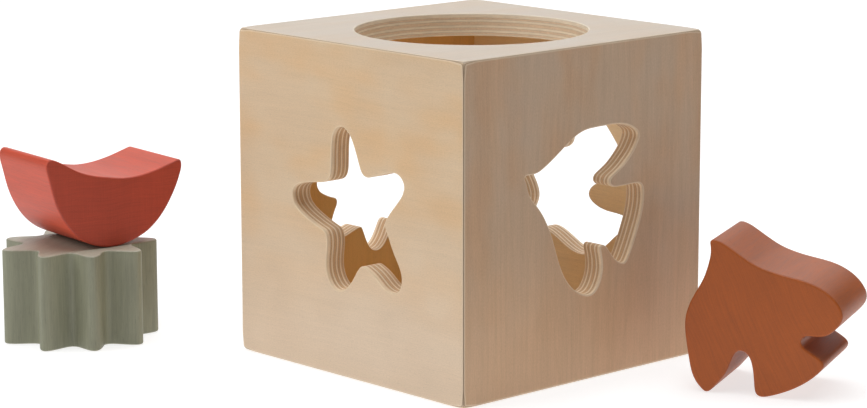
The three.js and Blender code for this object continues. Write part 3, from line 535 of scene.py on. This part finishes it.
class Look:
    """A Principled material and short names for the nodes it is made from."""

    def __init__(self, name, rough, spec=0.5, coat=0.0, coat_rough=0.3):
        self.m = bpy.data.materials.new(name)
        self.m.use_nodes = True
        self.t = self.m.node_tree
        self.t.nodes.clear()
        self.out = self.t.nodes.new("ShaderNodeOutputMaterial")
        self.bsdf = self.t.nodes.new("ShaderNodeBsdfPrincipled")
        self.t.links.new(self.bsdf.outputs[0], self.out.inputs[0])
        self.bsdf.inputs["Roughness"].default_value = rough
        self.bsdf.inputs["Specular IOR Level"].default_value = spec
        self.bsdf.inputs["Coat Weight"].default_value = coat
        self.bsdf.inputs["Coat Roughness"].default_value = coat_rough
        tc = self.node("ShaderNodeTexCoord")
        self.co = self.vmath("SCALE", tc.outputs["Object"], scale=1000.0)
        self.normal = tc.outputs["Normal"]

    def node(self, kind):
        return self.t.nodes.new(kind)

    def put(self, socket, value):
        if isinstance(value, bpy.types.NodeSocket):
            self.t.links.new(value, socket)
        elif value is not None:
            socket.default_value = value

    def math(self, op, a, b=None, c=None, clamp=False):
        n = self.node("ShaderNodeMath")
        n.operation = op
        n.use_clamp = clamp
        for s, v in zip(n.inputs, (a, b, c)):
            self.put(s, v)
        return n.outputs[0]

    def vmath(self, op, a, b=None, scale=None):
        n = self.node("ShaderNodeVectorMath")
        n.operation = op
        self.put(n.inputs[0], a)
        if b is not None:
            self.put(n.inputs[1], b)
        if scale is not None:
            self.put(n.inputs["Scale"], scale)
        return n.outputs["Value"] if op in ("DOT_PRODUCT", "LENGTH", "DISTANCE") else n.outputs[0]

    def along(self, axis, offset=0.0):
        return self.math("ADD", self.vmath("DOT_PRODUCT", self.co, tuple(axis)), float(offset))

    def join(self, x, y, z):
        n = self.node("ShaderNodeCombineXYZ")
        for s, v in zip(n.inputs, (x, y, z)):
            self.put(s, v)
        return n.outputs[0]

    def noise(self, p, size, detail=2.0, rough=0.5, warp=0.0, seed=0.0):
        """Noise from 0 to 1 whose features are size = (x, y, z) mm long."""
        n = self.node("ShaderNodeTexNoise")
        n.noise_dimensions = "4D" if seed else "3D"
        v = self.vmath("MULTIPLY", p, tuple(1.0 / s for s in size))
        self.put(n.inputs["Vector"], v)
        if seed:
            n.inputs["W"].default_value = seed
        n.inputs["Scale"].default_value = 1.0
        n.inputs["Detail"].default_value = detail
        n.inputs["Roughness"].default_value = rough
        n.inputs["Distortion"].default_value = warp
        return n.outputs["Fac"]

    def cells(self, p, size):
        n = self.node("ShaderNodeTexVoronoi")
        self.put(n.inputs["Vector"], self.vmath("MULTIPLY", p, tuple(1.0 / s for s in size)))
        n.inputs["Scale"].default_value = 1.0
        return n.outputs["Distance"], n.outputs["Color"]

    def span(self, v, lo, hi, to_lo=0.0, to_hi=1.0, smooth=False):
        n = self.node("ShaderNodeMapRange")
        n.interpolation_type = "SMOOTHSTEP" if smooth else "LINEAR"
        n.clamp = True
        self.put(n.inputs[0], v)
        for i, x in enumerate((lo, hi, to_lo, to_hi)):
            self.put(n.inputs[i + 1], x)
        return n.outputs[0]

    def ramp(self, v, stops, kind="LINEAR"):
        n = self.node("ShaderNodeValToRGB")
        n.color_ramp.interpolation = kind
        e = n.color_ramp.elements
        while len(e) < len(stops):
            e.new(0.5)
        for el, (pos, col) in zip(e, stops):
            el.position = pos
            el.color = col if len(col) == 4 else (*col, 1)
        self.put(n.inputs[0], v)
        return n.outputs[0]

    def mix(self, f, a, b, mode="MIX"):
        n = self.node("ShaderNodeMix")
        n.data_type = "RGBA"
        n.blend_type = mode
        n.clamp_factor = True
        ins = [s for s in n.inputs if s.enabled]
        self.put(n.inputs[0], f)
        self.put(n.inputs[6], a)
        self.put(n.inputs[7], b)
        return n.outputs[2]

    def tone(self, colour, amount):
        """colour times a grey value socket."""
        g = self.node("ShaderNodeCombineColor")
        for s in g.inputs:
            self.put(s, amount)
        return self.mix(1.0, colour, g.outputs[0], "MULTIPLY")

    def add(self, *parts):
        """A sum of (socket - centre) * weight, plus 1."""
        total = None
        for v, centre, weight in parts:
            x = self.math("MULTIPLY_ADD", v, float(weight), float(-centre * weight))
            total = x if total is None else self.math("ADD", total, x)
        return self.math("ADD", total, 1.0)

    def finish(self, colour, rough=None, height=None, strength=0.1, distance=0.0001):
        self.put(self.bsdf.inputs["Base Color"], colour)
        if rough is not None:
            self.put(self.bsdf.inputs["Roughness"], rough)
        if height is not None:
            b = self.node("ShaderNodeBump")
            b.inputs["Strength"].default_value = strength
            b.inputs["Distance"].default_value = distance
            self.put(b.inputs["Height"], height)
            self.t.links.new(b.outputs[0], self.bsdf.inputs["Normal"])
        return self.m


def veneer(name, grain, across, outward, plane, pale, warm, grey, seed, figure=0.5, contrast=1.0, inner=False, bounce_tint=None, lines=1.0):
    """Birch face veneer. grain, across and outward are unit axes; plane is the face's place along outward, mm."""
    k = Look(name, 0.5, 0.35)
    u, v = k.along(grain, seed * 131.7), k.along(across, seed * 57.3)
    w = k.math("SUBTRACT", float(plane), k.along(outward))
    p = k.join(u, v, w)
    drift = k.noise(p, (150, 60, 60), 1.0)
    v2 = k.math("MULTIPLY_ADD", drift, 9.0, v)
    q = k.join(u, v2, w)
    cloud = k.noise(p, (60, 22, 40), 2.0, 0.5)
    cloud2 = k.noise(p, (34, 30, 40), 2.0, 0.55, seed=3.1)
    band = k.noise(q, (240, 7.5, 60), 2.0, 0.5)
    streak = k.noise(q, (70, 1.6, 30), 2.0, 0.6)
    fine = k.noise(q, (9, 0.42, 9), 2.0, 0.6)
    grit = k.noise(p, (0.9, 0.45, 0.9), 1.0)
    pore = k.span(k.noise(q, (2.6, 0.30, 2), 0.0), 0.70, 0.80)
    warmth = k.span(cloud, 0.36, 0.66, smooth=True)
    greyness = k.span(cloud2, 0.45, 0.72, smooth=True)
    col = k.mix(warmth, pale, warm)
    col = k.mix(k.math("MULTIPLY", greyness, 0.5), col, grey)
    if bounce_tint:  # painted light: the face turns paler toward its lower edge, standing in for light bounced up from the floor
        bounce_mask = k.span(k.along((0.0, 0.0, 1.0)), 8.0, 95.0, 0.85, 0.0, smooth=True)
        col = k.mix(bounce_mask, col, bounce_tint)
    amount = k.add(
        (band, 0.5, 0.24 * figure * contrast),
        (streak, 0.5, 0.13 * contrast * lines),
        (fine, 0.5, 0.20 * contrast * lines),
        (grit, 0.5, 0.20 * contrast),
        (cloud2, 0.5, 0.16 * contrast),
        (pore, 0.0, -0.08),
    )
    ring = k.math("MULTIPLY_ADD", k.noise(q, (120, 16, 60), 1.5), 6.0, k.math("MULTIPLY", v2, 0.16))
    line = k.math("ABSOLUTE", k.math("SUBTRACT", k.math("FRACT", ring), 0.5))
    line = k.span(line, 0.0, 0.20, 1.0, 0.0, smooth=True)
    amount = k.math("MULTIPLY_ADD", line, -0.045 * figure, amount)
    col = k.tone(col, amount)
    d, c = k.cells(p, (17, 13, 17))
    speck = k.math("MULTIPLY", k.span(d, 0.012, 0.028, 1.0, 0.0), k.span(c, 0.60, 0.62))
    col = k.mix(k.math("MULTIPLY", speck, 0.45), col, lin(120, 84, 54))
    if not inner:  # the eased arris shows the paler edge of the face veneer, then the dark line of the joint
        col = k.mix(k.span(w, 0.01, 0.09, 0.0, 0.45), col, lin(236, 218, 192))
        line_w = k.math("ADD", w, k.math("MULTIPLY_ADD", k.noise(p, (6, 6, 6), 1.0), 0.05, -0.025))
        joint = k.math("MULTIPLY", k.span(line_w, 0.26, 0.30), k.span(line_w, 0.40, 0.50, 1.0, 0.25))
        col = k.mix(k.math("MULTIPLY", joint, 0.62), col, lin(128, 96, 68))
    rough = k.math("MULTIPLY_ADD", fine, 0.14, 0.40)
    height = k.math("ADD", k.math("MULTIPLY", fine, 0.6), k.math("MULTIPLY", pore, -0.5))
    return k.finish(col, rough, height, 0.12, 0.00008)


PLIES = (
    # thickness share from the outer face in, and whether it shows end grain
    (0.185, 0), (0.085, 1), (0.105, 0), (0.150, 1), (0.105, 0), (0.110, 1), (0.105, 0), (0.085, 1), (0.070, 0),
)


def ply_edge(name, outward, plane, grain, across, light, dark, rim, seed, glue_depth=0.60):
    """The sawn and sanded edge of a panel: plies as bands through its depth."""
    k = Look(name, 0.62, 0.25)
    w = k.math("SUBTRACT", float(plane), k.along(outward))
    u, v = k.along(grain, seed * 31.7), k.along(across, seed * 77.3)
    p = k.join(u, v, w)
    wave = k.noise(p, (14, 14, 60), 1.0)
    share = k.math("MULTIPLY_ADD", wave, 0.035, k.math("MULTIPLY_ADD", w, 1.0 / PLY, -0.0175))
    stops, at = [], 0.0
    soft = 0.012
    for i, (t, end) in enumerate(PLIES):
        if i:
            stops.append((at + soft, (float(end),) * 3))
        else:
            stops.append((0.0, (float(end),) * 3))
        at += t
        stops.append((min(at - soft, 1.0), (float(end),) * 3))
    kind = k.ramp(share, stops[:32])
    lines, at = [(0.0, (0.0,) * 3)], 0.0
    for t, end in PLIES[:-1]:
        at += t
        lines += [(at - 0.011, (0.0,) * 3), (at, (1.0,) * 3), (at + 0.011, (0.0,) * 3)]
    glue = k.ramp(share, lines[:31])
    lit = k.noise(p, (5, 5, 0.55), 3.0, 0.6)
    dots = k.noise(p, (0.45, 0.45, 0.30), 2.0, 0.6, seed=2.2)
    slow = k.noise(p, (16, 16, 2.0), 2.0, seed=5.0)
    a = k.tone(light, k.add((lit, 0.5, 0.50), (dots, 0.5, 0.25), (slow, 0.5, 0.25)))
    b = k.tone(dark, k.add((dots, 0.5, 0.65), (lit, 0.5, 0.35), (slow, 0.5, 0.25)))
    col = k.mix(kind, a, b)
    col = k.mix(k.math("MULTIPLY", glue, glue_depth), col, lin(84, 58, 38))
    col = k.mix(k.span(w, 0.30, 0.75, 0.55, 0.0), col, rim)
    height = k.math("ADD", k.math("MULTIPLY", dots, 0.6), k.math("MULTIPLY", kind, -0.35))
    return k.finish(col, None, height, 0.25, 0.00012)


def painted(name, thick_axis, ring_axis, ray_axis, side, end, seed, pitch=1.3, rays=0.5, side_grain=1.0, rough=0.5):
    """Stained and varnished hardwood with its fibres along thick_axis: streaks on the sides, end grain on the two flat faces."""
    k = Look(name, rough, 0.5)
    t = k.along(thick_axis, seed * 19.3)
    a = k.along(ring_axis, seed * 41.9)
    b = k.along(ray_axis, seed * 23.1)
    p = k.join(a, b, t)
    bend = k.noise(p, (30, 30, 160), 1.0)
    a2 = k.math("MULTIPLY_ADD", bend, 7.0, a)
    q = k.join(a2, b, t)
    on_end = k.span(k.math("ABSOLUTE", k.vmath("DOT_PRODUCT", k.normal, tuple(thick_axis))), 0.45, 0.85, smooth=True)
    cloud = k.noise(p, (22, 22, 40), 2.0)
    slow = k.noise(q, (4.5, 7.0, 55), 2.0)
    streak = k.noise(q, (0.75, 1.1, 16), 3.0, 0.6)
    hair = k.noise(p, (0.32, 0.32, 5), 1.0)
    fleck = k.span(k.noise(q, (0.35, 0.35, 2.6), 0.0, seed=7.7), 0.68, 0.80)
    ring = k.noise(q, (0.42 * pitch, 16, 60), 2.0, 0.55, seed=3.3)
    ray = k.noise(p, (14, 0.36, 40), 2.0, 0.55, seed=1.3)
    g = side_grain
    on_side = k.add(
        (cloud, 0.5, 0.22), (slow, 0.5, 0.26 * g), (streak, 0.5, 0.34 * g), (hair, 0.5, 0.10 * g), (fleck, 0.0, -0.10 * g),
    )
    across = k.add(
        (cloud, 0.5, 0.20), (slow, 0.5, 0.12), (streak, 0.5, 0.20), (hair, 0.5, 0.20),
        (ring, 0.5, 0.46), (ray, 0.5, 0.30 * rays),
    )
    col = k.mix(on_end, k.tone(side, on_side), k.tone(end, across))
    rough_v = k.math("MULTIPLY_ADD", streak, 0.16, rough - 0.08)
    height = k.math("ADD", k.math("MULTIPLY", streak, 0.7), k.math("MULTIPLY", hair, 0.4))
    return k.finish(col, rough_v, height, 0.22, 0.00012)


# ---------------------------------------------------------------- place everything
top_lo, top_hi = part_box("top_panel_round_opening")
FLOOR_GLOW_NEAR, FLOOR_GLOW_FAR = 0.70, 0.14
CX, CY = (top_lo.x + top_hi.x) / 2 * 1000, (top_lo.y + top_hi.y) / 2 * 1000
MM = Matrix.Scale(0.001, 4)


def local_frame(turn, tilt, x, y, z):
    return (
        MM
        @ Matrix.Translation((x, y, z))
        @ Matrix.Rotation(math.radians(turn), 4, "Z")
        @ Matrix.Rotation(math.radians(tilt), 4, "X")
    )


HS, HH = SIDE / 2, HEIGHT / 2
PANELS = {
    # node: cut-out, half width, half height, turn, tilt, outer face's middle relative to the cube's middle, grain runs along local x
    "front_panel_star": (outline(STAR_HOLE), HS, HH, 0, 90, (0, -HS, HH), True),
    "right_panel_fish": (outline(FISH_HOLE), HS, HH, 90, 90, (HS, 0, HH), False),
    "back_panel_bird": (outline(BIRD_HOLE), HS, HH, 180, 90, (0, HS, HH), True),
    "left_panel_flower": (outline(FLOWER_HOLE, 620), HS, HH, -90, 90, (-HS, 0, HH), False),
    "top_panel_round_opening": (circle(OPENING_D) + np.array(OPENING_AT), HS, HS, 0, 0, (0, 0, HEIGHT), False),
    "bottom_panel_moon": (outline(MOON_HOLE), HS, HS, 0, 180, (0, 0, 0), True),
}
FACE_TINTS_WITH_PAINTED_SHADE = {
    # pale, warm, grey, figure, contrast
    "front_panel_star": (lin(219, 191, 157), lin(222, 185, 141), lin(215, 194, 165), 0.25, 1.1),
    # painted shade: the right panel's tints are set darker than the other faces' to stand in for the shade on that side
    # of the cube
    "right_panel_fish": (lin(196, 167, 139), lin(200, 162, 128), lin(185, 163, 142), 0.6, 1.2),
    "back_panel_bird": (lin(220, 196, 160), lin(222, 189, 147), lin(212, 194, 166), 0.6, 0.9),
    "left_panel_flower": (lin(218, 190, 158), lin(220, 183, 144), lin(208, 188, 165), 0.9, 1.0),
    "top_panel_round_opening": (lin(194, 180, 164), lin(196, 178, 158), lin(190, 180, 168), 0.35, 0.9),
    "bottom_panel_moon": (lin(220, 196, 162), lin(222, 188, 148), lin(210, 192, 166), 0.6, 0.9),
}
# painted light: paler colours for the lower part of the front and right faces, standing in for light bounced up from
# the floor
FLOOR_BOUNCE_TINT = {"front_panel_star": lin(220, 197, 172), "right_panel_fish": lin(212, 174, 138)}
# painted light: the inner veneer's tints are set brighter and warmer than the outer faces, standing in for light coming
# in through the openings; the back panel's inside is set paler still (painted light) and the left panel's inside darker
# (painted shade)
INSIDE_WITH_PAINTED_LIGHT = (lin(236, 202, 150), lin(234, 196, 138), lin(228, 196, 150))
INSIDES_WITH_PAINTED_LIGHT_AND_SHADE = {
    "back_panel_bird": (lin(251, 231, 194), lin(250, 227, 184), lin(246, 227, 194)),
    "left_panel_flower": (lin(231, 188, 122), lin(229, 184, 114), lin(225, 185, 124)),
}
PLY_LIGHT, PLY_DARK = lin(240, 219, 190), lin(212, 176, 138)
# painted light: the top panel's cut edge gets paler plies and fainter glue lines, standing in for light on the wall of
# the round opening
PAINTED_LIGHT_EDGES = {"top_panel_round_opening": (lin(252, 238, 214), lin(238, 214, 182))}

pieces = {}
for i, (node, (cut, hx, hy, turn, tilt, at, grain_x)) in enumerate(PANELS.items()):
    place = local_frame(turn, tilt, CX + at[0], CY + at[1], at[2])
    rot = place.to_3x3().normalized()
    ax, ay, az = (rot @ Vector(a) for a in ((1, 0, 0), (0, 1, 0), (0, 0, 1)))
    plane = float((place.translation * 1000).dot(az))
    grain, across = (ax, ay) if grain_x else (ay, ax)
    pale, warm, grey, figure, contrast = FACE_TINTS_WITH_PAINTED_SHADE[node]
    seed = i + 1.0
    mats = [
        veneer("birch_face_" + node, grain, across, az, plane, pale, warm, grey, seed, figure, contrast, bounce_tint=FLOOR_BOUNCE_TINT.get(node), lines=0.5 if node == "front_panel_star" else 1.0),
        ply_edge("ply_edge_" + node, az, plane, grain, across, *PAINTED_LIGHT_EDGES.get(node, (PLY_LIGHT, PLY_DARK)), pale, seed, 0.35 if node in PAINTED_LIGHT_EDGES else 0.60),
        veneer("birch_inside_" + node, grain, across, az, plane, *INSIDES_WITH_PAINTED_LIGHT_AND_SHADE.get(node, INSIDE_WITH_PAINTED_LIGHT), seed + 7, 0.6, 0.8, inner=True),
    ]
    o = panel_solid(hx, hy, cut).object(node + "_finished", place, mats)
    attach(o, "cube")
    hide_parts(node)
    pieces[node] = o


def block_place(node, points, turn, standing):
    """The matrix that puts a block's outline where its CAD node is."""
    tilt = 90 if standing else 0
    base = local_frame(turn, tilt, 0, 0, 0)
    raw = np.array(points)
    ends = [base @ Vector((x, y, z)) for x, y in raw for z in (0, BLOCK_T)]
    lo = Vector([min(e[c] for e in ends) for c in range(3)])
    hi = Vector([max(e[c] for e in ends) for c in range(3)])
    clo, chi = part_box(node)
    shift = (clo + chi) / 2 - (lo + hi) / 2
    return Matrix.Translation(shift) @ base


BLOCKS = {
    # node: outline, turn, standing, body, slot
    "block_flower": (FLOWER_BLOCK, 0, False, "flower", "paint_sage"),
    "block_moon": (MOON_BLOCK, MOON_TURN, True, "moon", "paint_red"),
    "block_fish": (FISH_BLOCK, FISH_TURN, True, "fish", "paint_rust"),
    "block_star": (STAR_BLOCK, STAR_TURN, True, "star", "paint_sand"),
    "block_bird": (BIRD_BLOCK, BIRD_TURN, True, "bird", "paint_blue"),
}
PAINTS = {
    # side colour, end-grain colour, ring direction in the outline (degrees), ring pitch, ray strength, side grain
    # block_flower lies flat, so its end-grain colour covers its top: it is partly the end grain's own tone and partly
    # painted light, set paler to stand in for the light and sheen on that top
    "block_flower": (lin(139, 139, 117), lin(178, 175, 158), 20, 1.6, 0.4, 1.5),
    "block_moon": (lin(197, 75, 48), lin(170, 60, 38), 90, 1.15, 1.0, 1.4),
    "block_fish": (lin(165, 84, 36), lin(170, 82, 16), 25, 1.35, 0.35, 1.6),
    "block_star": (lin(214, 170, 104), lin(200, 154, 90), 70, 1.4, 0.4, 0.9),
    "block_bird": (lin(120, 142, 152), lin(104, 126, 138), 10, 1.4, 0.4, 0.9),
}
for i, (node, (points, turn, standing, body, slot)) in enumerate(BLOCKS.items()):
    place = block_place(node, points, turn, standing)
    rot = place.to_3x3().normalized()
    side, end, ring_deg, pitch, rays, grain_amount = PAINTS[node]
    c, s = math.cos(math.radians(ring_deg)), math.sin(math.radians(ring_deg))
    mat = painted(
        "painted_wood_" + slot, rot @ Vector((0, 0, 1)), rot @ Vector((c, s, 0)), rot @ Vector((-s, c, 0)),
        side, end, i + 2.0, pitch, rays, grain_amount,
    )
    o = block_solid(outline(points, 620 if node == "block_flower" else 520)).object(node + "_finished", place, [mat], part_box(node))
    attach(o, body)
    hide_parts(node)
    pieces[node] = o

# ---------------------------------------------------------------- floor
# Pale paper that glows: its emission is painted light, evenly bright under and behind the set, and falling off in front
# of it where the lights end.
fl = Look("glowing_pale_floor", 0.9, 0.0)
lead = fl.math("ADD", fl.along((0.733, -0.680, 0.0)), -(0.733 * CX - 0.680 * CY))
glow = fl.span(lead, 130.0, 900.0, FLOOR_GLOW_NEAR, FLOOR_GLOW_FAR, smooth=True)
fl.put(fl.bsdf.inputs["Emission Strength"], glow)
fl.bsdf.inputs["Emission Color"].default_value = (1, 1, 1, 1)
fl.bsdf.inputs["Base Color"].default_value = (0.45, 0.45, 0.45, 1)
floor_look = fl.m
me = bpy.data.meshes.new("floor")
R = 14.0
me.from_pydata([(-R, -R, -0.0002), (R, -R, -0.0002), (R, R, -0.0002), (-R, R, -0.0002)], [], [(0, 1, 2, 3)])
me.materials.append(floor_look)
floor = bpy.data.objects.new("floor", me)
bpy.context.scene.collection.objects.link(floor)


# ---------------------------------------------------------------- light
def softbox(name, at, to, size, power, colour=(1, 1, 1)):
    d = bpy.data.lights.new(name, "AREA")
    d.shape = "RECTANGLE"
    d.size, d.size_y = size
    d.energy = power
    d.color = colour
    o = bpy.data.objects.new(name, d)
    o.location = at
    o.rotation_mode = "QUATERNION"
    o.rotation_quaternion = (Vector(to) - Vector(at)).to_track_quat("-Z", "Y")
    bpy.context.scene.collection.objects.link(o)
    return o


MID = Vector((CX / 1000, CY / 1000, 0.07))
softbox("key_softbox", MID + Vector((-0.75, -1.30, 0.85)), MID, (1.1, 1.1), 10.6)
softbox("overhead_softbox", MID + Vector((0.0, 0.1, 1.6)), MID, (1.8, 1.8), 27.5, (0.985, 0.99, 1.0))
softbox("back_softbox", MID + Vector((-1.15, 1.10, 0.75)), MID, (2.2, 1.2), 9.0)
world = bpy.data.worlds.new("studio")
bpy.context.scene.world = world
world.use_nodes = True
bg = world.node_tree.nodes["Background"]
bg.inputs["Color"].default_value = (1, 1, 1, 1)
bg.inputs["Strength"].default_value = 0.10

# ---------------------------------------------------------------- camera
AZ, EL, ROLL = math.radians(47.0991), math.radians(11.1117), math.radians(-0.0615)
back = Vector((math.sin(AZ) * math.cos(EL), -math.cos(AZ) * math.cos(EL), math.sin(EL)))
right = Vector((math.cos(AZ), math.sin(AZ), 0))
up = back.cross(right)
r2 = right * math.cos(ROLL) + up * math.sin(ROLL)
u2 = up * math.cos(ROLL) - right * math.sin(ROLL)
cam_data = bpy.data.cameras.new("camera")
cam_data.sensor_width = 36.0
cam_data.lens = 123.50
cam_data.clip_start, cam_data.clip_end = 0.05, 60.0
cam = bpy.data.objects.new("camera", cam_data)
bpy.context.scene.collection.objects.link(cam)
where = Vector((CX / 1000 + 0.90766, CY / 1000 - 0.86463, 0.31100))
cam.matrix_world = Matrix(
    (
        (r2.x, u2.x, back.x, where.x),
        (r2.y, u2.y, back.y, where.y),
        (r2.z, u2.z, back.z, where.z),
        (0, 0, 0, 1),
    )
)
bpy.context.scene.camera = cam
bpy.context.scene.view_settings.view_transform = "Standard"
bpy.context.scene.view_settings.look = "None"

bpy.context.view_layer.update()
